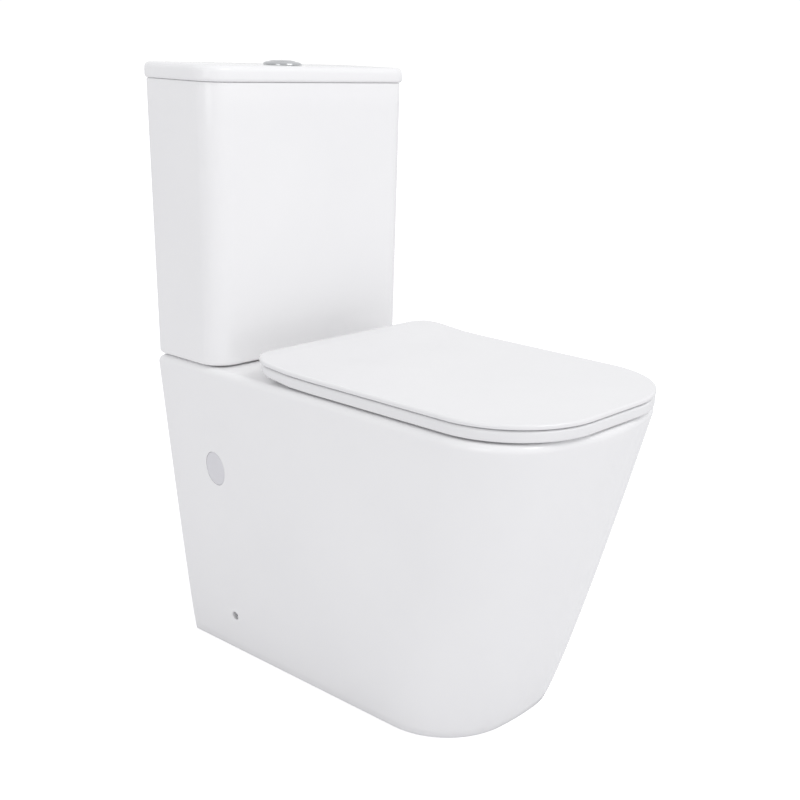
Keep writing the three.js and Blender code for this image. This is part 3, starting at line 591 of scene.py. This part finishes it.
# Runs a tree and leaves a plain mesh, its size in millimetres and its foot at place.
def grown(name, tree, material, place, **values):
    mesh = bpy.data.meshes.new(name)
    piece = bpy.data.objects.new(name, mesh)
    bpy.context.scene.collection.objects.link(piece)
    modifier = piece.modifiers.new("grow", "NODES")
    modifier.node_group = tree
    values["Material"] = material
    for socket in tree.interface.items_tree:
        if socket.in_out == "INPUT":
            modifier[socket.identifier] = values[socket.name.replace(" ", "_")]
    bpy.context.view_layer.update()
    made = bpy.data.meshes.new_from_object(piece.evaluated_get(bpy.context.evaluated_depsgraph_get()))
    piece.modifiers.clear()
    made.transform(Matrix.Scale(MM, 4) @ Matrix.Translation(place))
    made.name = name
    piece.data = made
    bpy.data.meshes.remove(mesh)
    smooth_but(made, 38)
    return piece


# A wire wound up an upright axis: a spring, or the crest of a screw thread when its section has few sides.
def coil_tree():
    tree, given, whole = geometry_tree("coil", [("Radius", "Float"), ("Turns", "Float"), ("Height", "Float"),
                                                ("Wire", "Float"), ("Sides", "Int"), ("Material", "Material")])
    spiral = tree.nodes.new("GeometryNodeCurveSpiral")
    spiral.inputs["Resolution"].default_value = 40
    section = tree.nodes.new("GeometryNodeCurvePrimitiveCircle")
    sweep = tree.nodes.new("GeometryNodeCurveToMesh")
    sweep.inputs["Fill Caps"].default_value = True
    for label, sockets in {"Radius": (spiral.inputs["Start Radius"], spiral.inputs["End Radius"]),
                           "Turns": (spiral.inputs["Rotations"],), "Height": (spiral.inputs["Height"],),
                           "Wire": (section.inputs["Radius"],), "Sides": (section.inputs["Resolution"],)}.items():
        for socket in sockets:
            tree.links.new(given.outputs[label], socket)
    tree.links.new(spiral.outputs["Curve"], sweep.inputs["Curve"])
    tree.links.new(section.outputs["Curve"], sweep.inputs["Profile Curve"])
    tree.links.new(sweep.outputs["Mesh"], whole.inputs["Geometry"])
    return tree


# Bars that stand in a circle round an upright axis, each facing outwards: ribs, lugs and grips.
def rib_tree():
    tree, given, whole = geometry_tree("ribs", [("Radius", "Float"), ("Count", "Int"), ("Size", "Vector"),
                                                ("Material", "Material")])
    circle = tree.nodes.new("GeometryNodeMeshCircle")
    bar = tree.nodes.new("GeometryNodeMeshCube")
    spread = tree.nodes.new("GeometryNodeInstanceOnPoints")
    facing = tree.nodes.new("FunctionNodeAlignRotationToVector")
    facing.axis = "X"
    here = tree.nodes.new("GeometryNodeInputPosition")
    tree.links.new(given.outputs["Radius"], circle.inputs["Radius"])
    tree.links.new(given.outputs["Count"], circle.inputs["Vertices"])
    tree.links.new(given.outputs["Size"], bar.inputs["Size"])
    tree.links.new(here.outputs["Position"], facing.inputs["Vector"])
    tree.links.new(circle.outputs["Mesh"], spread.inputs["Points"])
    tree.links.new(bar.outputs["Mesh"], spread.inputs["Instance"])
    tree.links.new(facing.outputs["Rotation"], spread.inputs["Rotation"])
    tree.links.new(spread.outputs["Instances"], whole.inputs["Geometry"])
    return tree


# The section of a washer or a ring nut, its outer edges chamfered by edge.
def washer_section(inner, outer, low, high, edge=0.6):
    return [(inner, low), (outer - edge, low), (outer, low + edge), (outer, high - edge), (outer - edge, high),
            (inner, high)]


coils, ribs = coil_tree(), rib_tree()


# Cuts a screw thread's crest into a bar: pitch in millimetres, from low to high.
def threaded(bar, material, radius, low, high, x, y, pitch=1.25, depth=0.25):
    crest = grown("crest", coils, material, (x, y, low), Radius=radius, Turns=(high - low) / pitch,
                  Height=high - low, Wire=depth, Sides=4)
    return carve(bar, [crest], "UNION", sharp=25)


def ribbed(body, material, radius, count, size, x, y, z):
    bars = grown("bars", ribs, material, (x, y, z), Radius=radius, Count=count, Size=size)
    return carve(body, [bars], "UNION")


full_x, half_x = 8, -10
bezel_section = [(0.05, 812), (20.5, 812), (20.5, 837.3), (26.1, 837.3), (26.5, 837.7), (26.45, 838.4), (26, 839.2),
                 (24.9, 840), (23.2, 840.8), (21.3, 841.3), (20, 841.5), (19, 841.4), (18.6, 841), (18.6, 815),
                 (0.05, 815)]
bezel = turned("chrome_bezel", bezel_section, 0, shelf_y, 96)
carve(bezel, [rod("hole", 4.4, (x, shelf_y, 810), (x, shelf_y, 817), 40) for x in (full_x, half_x)])
placed(bezel, chrome, "cistern_cover", "chrome", "button_bezel")
nut = turned("bezel_ring_nut", washer_section(20.8, 25.6, 820, 826.7), 0, shelf_y, 64)
ribbed(nut, white_plastic, 25.7, 16, (2.4, 2, 6), 0, shelf_y, 823.4)
placed(nut, white_plastic, "cistern_cover", "white_plastic", "bezel_nut")

split, dome_radius, dome_shoulder, dome_edge = -2.5, 18.2, 840.6, 1.7
for size, side, stem_x in (("full", 1, full_x), ("half", -1, half_x)):
    turns = np.radians(np.linspace(0, 90, 7))
    levels = [(0.0, 836.0), (0.0, dome_shoulder)]
    levels += [(dome_edge * (1 - math.cos(t)), dome_shoulder + dome_edge * math.sin(t)) for t in turns[1:]]
    levels += [(3.2, 842.75), (5.5, 843.1), (8, 843.4)] if side > 0 else [(3.2, 842.75), (5.5, 843.1)]
    rings = []
    for inset, z in levels:
        edge = (split + side * 0.4) * side + inset
        radius = dome_radius - inset
        turn = math.degrees(math.acos(edge / radius))
        middle = 0 if side > 0 else 180
        bend = arc(0, shelf_y, radius, middle - turn, middle + turn, 48)
        chord = np.linspace(bend[-1], bend[0], 26)[1:-1]
        rings.append(at_height(np.concatenate([bend, chord]), z))
    button = loft(f"chrome_{size}_button", rings)
    stem = rod("stem", 4, (stem_x, shelf_y, 809), (stem_x, shelf_y, 837), 40, 0.4)
    carve(button, [stem], "UNION")
    placed(button, chrome, f"{size}_button", "chrome", f"{size}_flush_button")

    push_rod = rod(f"threaded_{size}_rod", 2.25, (stem_x, shelf_y, 697), (stem_x, shelf_y, 808.7), 32, 0.4)
    threaded(push_rod, white_plastic, 2.25, 775, 808, stem_x, shelf_y)
    placed(push_rod, white_plastic, f"{size}_button", "white_plastic", f"{size}_flush_rod")

    spring = grown(f"coiled_{size}_spring", coils, steel, (stem_x, shelf_y, 816), Radius=5.7, Turns=4.5, Height=19,
                   Wire=0.55, Sides=12)
    placed(spring, steel, "cistern_cover", "steel", f"{size}_button_spring")
    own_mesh(spring)

# ---- the seat ring and the seat lid ----
# Two slim slabs of glossy white moulded plastic with the same D outline and soft edges. Both sweep up to the
# hinges at the rear. The ring has the seat's oval opening; the lid is hollowed a little underneath.
seat_plastic = finish("seat_plastic", (0.825, 0.823, 0.832), (0.845, 0.843, 0.85), (0.1, 0.16), grain=70,
                      grain_depth=0.00003)
hinge_y, hinge_z = wall_y - 200, 463.5
knuckle, pin_bore = 6.3, 3.8


def sweep_up(y):
    distance = np.maximum(wall_y - y, 200)
    return 7.3 * np.maximum((290 - distance) / 90, 0) ** 1.7


def smooth_step(value, start, end):
    t = np.clip((value - start) / (end - start), 0, 1)
    return t * t * (3 - 2 * t)


# The rings up a slab's rounded edge; thickness and both edge radii may change along the outline.
def edge_rings(outline, low, high, low_edge, high_edge, steps=9):
    along = np.roll(outline, -1, 0) - np.roll(outline, 1, 0)
    inward = np.stack([-along[:, 1], along[:, 0]], 1) / np.linalg.norm(along, axis=1)[:, None]
    rings = []
    for turn in np.radians(np.linspace(0, 90, steps)):
        inset = low_edge * (1 - math.sin(turn))
        rings.append(np.column_stack([outline + inward * np.reshape(inset, (-1, 1)),
                                      low + low_edge * (1 - math.cos(turn))]))
    for turn in np.radians(np.linspace(0, 90, steps)):
        inset = high_edge * (1 - math.cos(turn))
        rings.append(np.column_stack([outline + inward * np.reshape(inset, (-1, 1)),
                                      high - high_edge * (1 - math.sin(turn))]))
    return rings


def cross_rod(radius, x0, x1, y=hinge_y, z=hinge_z, edge=0.0):
    return rod("cross_rod", radius, (x0, y, z), (x1, y, z), 48, edge)


seat_base, seat_top, seat_thinning = 448, 462.4, 1.274
hole_half, hole_length, hole_y, hole_squareness = 118, 154, wall_y - 446, 2.6
seat_half, seat_rear, seat_front = 174.2, wall_y - 193.8, wall_y - 656.9
outline = plan(seat_half, seat_rear, seat_front, 36, 124.5, steps=30)
seat_under = seat_base + sweep_up(outline[:, 1]) * seat_thinning
seat_over = seat_top + sweep_up(outline[:, 1])
behind = smooth_step(outline[:, 1], wall_y - 250, wall_y - 212)
outer = edge_rings(outline, seat_under, seat_over, 3.0 + 3.1 * behind, 3.6 + 2.5 * behind)
spoke = outline - (0, hole_y)
spoke /= np.linalg.norm(spoke, axis=1)[:, None]
reach = (np.abs(spoke[:, 0] / hole_half) ** hole_squareness
         + np.abs(spoke[:, 1] / hole_length) ** hole_squareness) ** (-1 / hole_squareness)
inner = spoke * reach[:, None] + (0, hole_y)
inner_edge = edge_rings(inner[::-1], (seat_base + sweep_up(inner[:, 1]) * seat_thinning)[::-1],
                        (seat_top - 0.8 + sweep_up(inner[:, 1]))[::-1], 1.6, 4.2)
inner_edge = [r[::-1] for r in inner_edge[::-1]]
span = np.linspace(0, 1, 9)[1:-1]
over = [outer[-1] * (1 - s) + inner_edge[0] * s for s in span]
under = [inner_edge[-1] * (1 - s) + outer[0] * s for s in span]
for ring, s in zip(over, span):
    ring[:, 2] = seat_top - 0.8 * s * s + sweep_up(ring[:, 1])
for ring in under:
    ring[:, 2] = seat_base + sweep_up(ring[:, 1]) * seat_thinning
seat = loft("moulded_seat_ring", outer + over + inner_edge + under, closed=True)
notches = []
for name, side in SIDES:
    notches.append(block("notch", (side * 67.5, wall_y - 210, 440), (side * 104.6, wall_y - 180, 490)))
    notches.append(cross_rod(pin_bore, side * 51.5, side * 69))
carve(seat, notches)
placed(seat, seat_plastic, "seat", "seat_plastic", "seat_ring")

lid_base, lid_top, crown = 464, 470.1, 1.4
lid_half, lid_rear, lid_front, hollow_inset = 175, wall_y - 188, wall_y - 657.7, 14
outline = plan(lid_half, lid_rear, lid_front, 40, 125, steps=30)
lift = sweep_up(outline[:, 1])
rings = edge_rings(outline, lid_base + lift, lid_top + lift, 1.6, 3.4)
hub = np.array((0, wall_y - 420))
top_edge, bottom_edge = rings[-1], rings[0]
for s in (0.985, 0.95, 0.9, 0.82, 0.72, 0.6, 0.48, 0.36, 0.24, 0.12, 0.03):
    flat = hub + (top_edge[:, :2] - hub) * s
    rings.append(np.column_stack([flat, lid_top + sweep_up(flat[:, 1]) + crown * (1 - s * s)]))
for s in (0.95, 0.85, 0.7, 0.5, 0.3, 0.1):
    flat = hub + (bottom_edge[:, :2] - hub) * s
    rings.insert(0, np.column_stack([flat, lid_base + sweep_up(flat[:, 1])]))
lid = loft("moulded_seat_lid", rings)
knuckles = []
for name, side in SIDES:
    knuckles.append(cross_rod(knuckle, side * 87.6, side * 104, edge=0.5))
    knuckles.append(block("web", (side * 87.6, hinge_y - 5, hinge_z), (side * 104, hinge_y + 5, lid_base + 8.6), 0.4))
carve(lid, knuckles, "UNION")
hollow = plan(lid_half - hollow_inset, wall_y - 292, lid_front + hollow_inset, 40, 125 - hollow_inset, steps=16)
pocket = loft("pocket", [at_height(hollow, z) for z in (lid_base - 1, lid_base + 2.2)])
carve(lid, [pocket, *(cross_rod(pin_bore, side * 86, side * 106) for name, side in SIDES)])
placed(lid, seat_plastic, "lid", "seat_plastic", "seat_lid")

# ---- seat and lid buffers ----
# Soft pale grey pads pressed into the undersides: four bars below the ring, which rest on the china rim, and
# two round ones below the lid, which rest on the ring.
pale_rubber = finish("pale_rubber", (0.58, 0.58, 0.59), (0.64, 0.64, 0.65), (0.55, 0.7), grain=900,
                     grain_depth=0.00003)
for place in ("front_left", "front_right", "rear_left", "rear_right"):
    low, high = box_mm("seat_buffer_" + place)
    pad = block("soft_bar_" + place, low, high, 0.7)
    grooves = [block("groove", (low[0] - 1, y - 0.5, low[2] - 1), (high[0] + 1, y + 0.5, low[2] + 0.4), 0.1)
               for y in np.linspace(low[1] + 4, high[1] - 4, 4)]
    placed(carve(pad, grooves), pale_rubber, "seat", "buffer_rubber", "seat_buffer_" + place)
for name, side in SIDES:
    low, high = box_mm("lid_buffer_" + name)
    x, y = (low[:2] + high[:2]) / 2
    button_section = [(0.05, low[2]), (3.6, low[2]), (4.6, low[2] + 0.5), (5, low[2] + 1.4), (5, high[2]),
                      (0.05, high[2])]
    pad = turned("soft_button_" + name, button_section, x, y, 48)
    placed(pad, pale_rubber, "lid", "buffer_rubber", "lid_buffer_" + name)

# ---- hinges ----
# Chromed posts on the shelf behind the seat, each held by a steel stud, a rubber washer above the china and a
# tapered plastic nut below. A steel pin through each post carries the ring and the lid.
black_rubber = finish("black_rubber", (0.022, 0.022, 0.024), (0.035, 0.035, 0.037), (0.6, 0.78), grain=900,
                      grain_depth=0.00004)
stud_y = wall_y - 201
for name, side in SIDES:
    x = side * 77.5
    post = rod("chrome_post_" + name, 12, (x, stud_y, 448.1), (x, stud_y, 449.8), 64, 0.6)
    carve(post, [block("column", (x - 9.5, hinge_y - 6, 449), (x + 9.5, hinge_y + 4.5, hinge_z), 1.2),
                 cross_rod(6.2, x - 9.5, x + 9.5, edge=0.8)], "UNION")
    carve(post, [cross_rod(pin_bore, x - 12, x + 12),
                 rod("stud_hole", 3.3, (x, stud_y, 440), (x, stud_y, 456), 32)])
    placed(post, chrome, "root", "chrome", "hinge_post_" + name)
    pin = rod("steel_pin_" + name, 3.5, (side * 52, hinge_y, hinge_z), (side * 103.7, hinge_y, hinge_z), 40, 0.7)
    placed(pin, steel, "root", "steel", "hinge_pin_" + name)
    stud = rod("threaded_stud_" + name, 2.75, (x, stud_y, 396), (x, stud_y, 455.6), 32, 0.4)
    threaded(stud, steel, 2.75, 397, 444, x, stud_y)
    placed(stud, steel, "root", "steel", "hinge_stud_" + name)
    pad = turned("rubber_pad_" + name, washer_section(3.4, 12, 445.8, 447.8, 0.4), x, stud_y)
    placed(pad, black_rubber, "root", "rubber", "hinge_washer_" + name)
    nut = turned("tapered_nut_" + name, [(3.4, 408), (7.2, 408), (7.6, 408.5), (7.6, 416), (13.4, 424),
                                         (13.6, 424.6), (13.6, 431), (3.4, 431)], x, stud_y)
    ribbed(nut, white_plastic, 7.4, 6, (1.2, 1.6, 7), x, stud_y, 412.2)
    placed(nut, white_plastic, "root", "white_plastic", "hinge_nut_" + name)

# ---- bolts and gasket between the cistern and the pan ----
# Two brass bolts stand in the cistern's floor on rubber cones, and wing nuts below the shelf pull the cistern
# down on to a moulded rubber gasket round the flush valve's outlet.
brass = finish("brass", (0.5, 0.36, 0.15), (0.62, 0.47, 0.22), (0.25, 0.42), grain=260, metal=1.0,
               grain_depth=0.000008)
for name, side in SIDES:
    x = side * 80
    head = hexagon("brass_bolt_" + name, 8, inner_base + 3.6, inner_base + 9, x, shelf_y)
    shank = rod("shank", 3.7, (x, shelf_y, 408), (x, shelf_y, inner_base + 5), 40, 0.5)
    carve(head, [threaded(shank, brass, 3.7, 409, 446, x, shelf_y)], "UNION", sharp=25)
    placed(head, brass, "root", "brass", "coupling_bolt_" + name)
    low, high = box_mm("bolt_seal_" + name)
    cone = [(4.3, low[2]), (10.5, low[2]), (11, low[2] + 0.5), (11, low[2] + 1.3), (7.4, high[2] - 0.2),
            (6.8, high[2]), (4.3, high[2])]
    placed(turned("rubber_cone_" + name, cone, x, shelf_y), black_rubber, "root", "rubber", "bolt_seal_" + name)
    plate = turned("steel_washer_" + name, washer_section(4.3, 11, 429.3, 431.2, 0.2), x, shelf_y)
    placed(plate, steel, "root", "steel", "bolt_washer_" + name)
    wing = turned("winged_nut_" + name, washer_section(4.3, 7, 417, 429), x, shelf_y, 48)
    carve(wing, [block("wing", (x - 1.5, shelf_y + s * 5, 418), (x + 1.5, shelf_y + s * 16, 427), 0.9)
                 for s in (-1, 1)], "UNION")
    placed(wing, brass, "root", "brass", "wing_nut_" + name)
gasket_section = [(27, 412), (46, 412), (47.3, 413), (49.6, 418.5), (49.6, 426), (48.6, 427), (48.6, 429), (49.6, 430),
                  (49.6, 446.3), (48.8, 447.1), (42.6, 447.1), (42.6, 424), (27, 421)]
gasket = turned("moulded_gasket", gasket_section, 0, shelf_y, 80)
placed(gasket, black_rubber, "root", "rubber", "coupling_gasket")

# ---- the flush valve ----
# A plastic tower over the cistern's outlet: a threaded tail and its ring nut, windows at the foot, a grey head
# that holds the two rods, and inside it the blue plunger whose rubber ring seals the outlet.
blue_plastic = finish("blue_plastic", (0.07, 0.16, 0.3), (0.09, 0.2, 0.36), (0.35, 0.5), grain=1000,
                      grain_depth=0.00002)
seat_z = inner_base + 8
tower = [(25, 426), (29.6, 426), (29.6, inner_base + 3.6), (43.4, inner_base + 3.6), (44, inner_base + 4.2),
         (44, seat_z - 0.6), (43.4, seat_z), (37, seat_z), (37, 645.4), (36.4, 646), (13, 646), (13, 642), (34, 642),
         (34, seat_z + 1), (31, seat_z), (25, seat_z)]
body = turned("valve_tower", tower, 0, shelf_y, 96)
windows = []
for turn in (45, 135):
    window = block("window", (-45, -13, seat_z + 6), (45, 13, seat_z + 46), 2)
    window.data.transform(Matrix.Translation((0, shelf_y * MM, 0)) @ Matrix.Rotation(math.radians(turn), 4, "Z"))
    windows.append(window)
carve(body, windows)
ribbed(body, white_plastic, 36.9, 12, (1.6, 2, 110), 0, shelf_y, 580)
threaded(body, white_plastic, 29.6, 427, 446, 0, shelf_y, pitch=3, depth=0.4)
placed(body, white_plastic, "root", "white_plastic", "flush_valve_body")
low, high = box_mm("flush_valve_seal")
seal = turned("outlet_seal", washer_section(30.5, 43, low[2], high[2]), 0, shelf_y, 72)
placed(seal, black_rubber, "root", "rubber", "flush_valve_seal")
ring_nut = turned("valve_ring_nut", washer_section(30.4, 38.6, 436, 447.1), 0, shelf_y, 72)
ribbed(ring_nut, white_plastic, 39, 10, (4.4, 5, 10), 0, shelf_y, 441.5)
placed(ring_nut, white_plastic, "root", "white_plastic", "flush_valve_nut")
plunger_section = [(9.5, seat_z + 6), (29.5, seat_z + 6), (30, seat_z + 6.5), (30, seat_z + 9.4), (29.4, seat_z + 10),
                   (14, seat_z + 14), (12.4, seat_z + 16), (12, seat_z + 18), (12, 659.4), (11.4, 660), (9.5, 660)]
plunger = turned("blue_plunger", plunger_section, 0, shelf_y, 72)
placed(plunger, blue_plastic, "plunger", "blue_plastic", "flush_plunger")
low, high = box_mm("plunger_seal")
lip_section = [(15, low[2]), (27.6, low[2]), (29, low[2] + 0.9), (28.6, high[2]), (15, high[2])]
placed(turned("plunger_ring", lip_section, 0, shelf_y, 72), black_rubber, "plunger", "rubber", "plunger_seal")
head_section = [(26, 646.4), (30, 646.4), (30, 703.2), (29.2, 704), (0.05, 704), (0.05, 700), (26, 700)]
valve_head = turned("valve_head", head_section, 0, shelf_y, 72)
carve(valve_head, [block("vent", (-40, shelf_y - 8, 660), (40, shelf_y + 8, 690), 2)]
      + [rod("hole", 3.6, (x, shelf_y, 699), (x, shelf_y, 705), 32) for x in (full_x, half_x)])
placed(valve_head, grey_plastic, "root", "grey_plastic", "flush_valve_head")

# ---- the fill valve ----
# A white plastic column on the right of the cistern, screwed through its floor. A blue float cup slides on it
# and lifts a link, which tilts the lever on the grey cap and shuts the water off.
column = [(5, 404), (9.8, 404), (9.8, inner_base + 3.6), (19.4, inner_base + 3.6), (20, inner_base + 4.2),
          (20, inner_base + 6.4), (19.4, inner_base + 7), (11, inner_base + 10), (11, 716), (5, 716)]
body = turned("fill_column", column, fill_x, fill_y, 64)
threaded(body, white_plastic, 9.8, 405, 446, fill_x, fill_y, pitch=2, depth=0.4)
placed(body, white_plastic, "root", "white_plastic", "fill_valve_body")
low, high = box_mm("fill_valve_seal")
seal = turned("fill_seal", washer_section(10.8, 19, low[2], high[2]), fill_x, fill_y, 56)
placed(seal, black_rubber, "root", "rubber", "fill_valve_seal")
fill_nut = hexagon("fill_nut", 17, 438, 447.1, fill_x, fill_y)
carve(fill_nut, [rod("hole", 11, (fill_x, fill_y, 437), (fill_x, fill_y, 448), 48)])
placed(fill_nut, white_plastic, "root", "white_plastic", "fill_valve_nut")

cap_top, pivot = 738, (fill_x + 13, fill_y, 742)
cap = turned("fill_cap", [(0.05, 716.3), (16.4, 716.3), (17, 716.9), (17, 732.6), (16.6, 733.6), (14.6, 737.4),
                          (13.8, cap_top), (0.05, cap_top)], fill_x, fill_y, 64)
carve(cap, [block("ear", (pivot[0] - 4, fill_y + s * 3.9, cap_top - 1), (pivot[0] + 4, fill_y + s * 6.5, cap_top + 7),
                  0.8) for s in (-1, 1)], "UNION")
ribbed(cap, grey_plastic, 16.7, 16, (1.2, 1.6, 12), fill_x, fill_y, 724.5)
carve(cap, [rod("pin_hole", 1.7, (pivot[0], fill_y - 10, pivot[2]), (pivot[0], fill_y + 10, pivot[2]), 24)])
placed(cap, grey_plastic, "root", "grey_plastic", "fill_valve_cap")
cup_section = [(12, 628), (13.5, 628), (13.5, 686), (25.5, 686), (25.5, 628), (27, 628), (27, 689.2), (26.2, 690),
               (12, 690)]
cup = turned("blue_float", cup_section, fill_x, fill_y, 72)
placed(cup, blue_plastic, "float", "blue_plastic", "float_cup")
link_x = fill_x - 23
link = rod("float_wire", 1.6, (link_x, fill_y, 690.3), (link_x, fill_y, cap_top), 24, 0.5)
placed(link, white_plastic, "float", "white_plastic", "float_link")
lever = block("shut_off_lever", (link_x - 3, fill_y - 3.5, cap_top + 1.8), (pivot[0] + 3, fill_y + 3.5, cap_top + 5.6))
carve(lever, [rod("pin", 1.3, (pivot[0], fill_y - 6.3, pivot[2]), (pivot[0], fill_y + 6.3, pivot[2]), 24, 0.3)],
      "UNION")
placed(lever, grey_plastic, "lever", "grey_plastic", "float_lever")
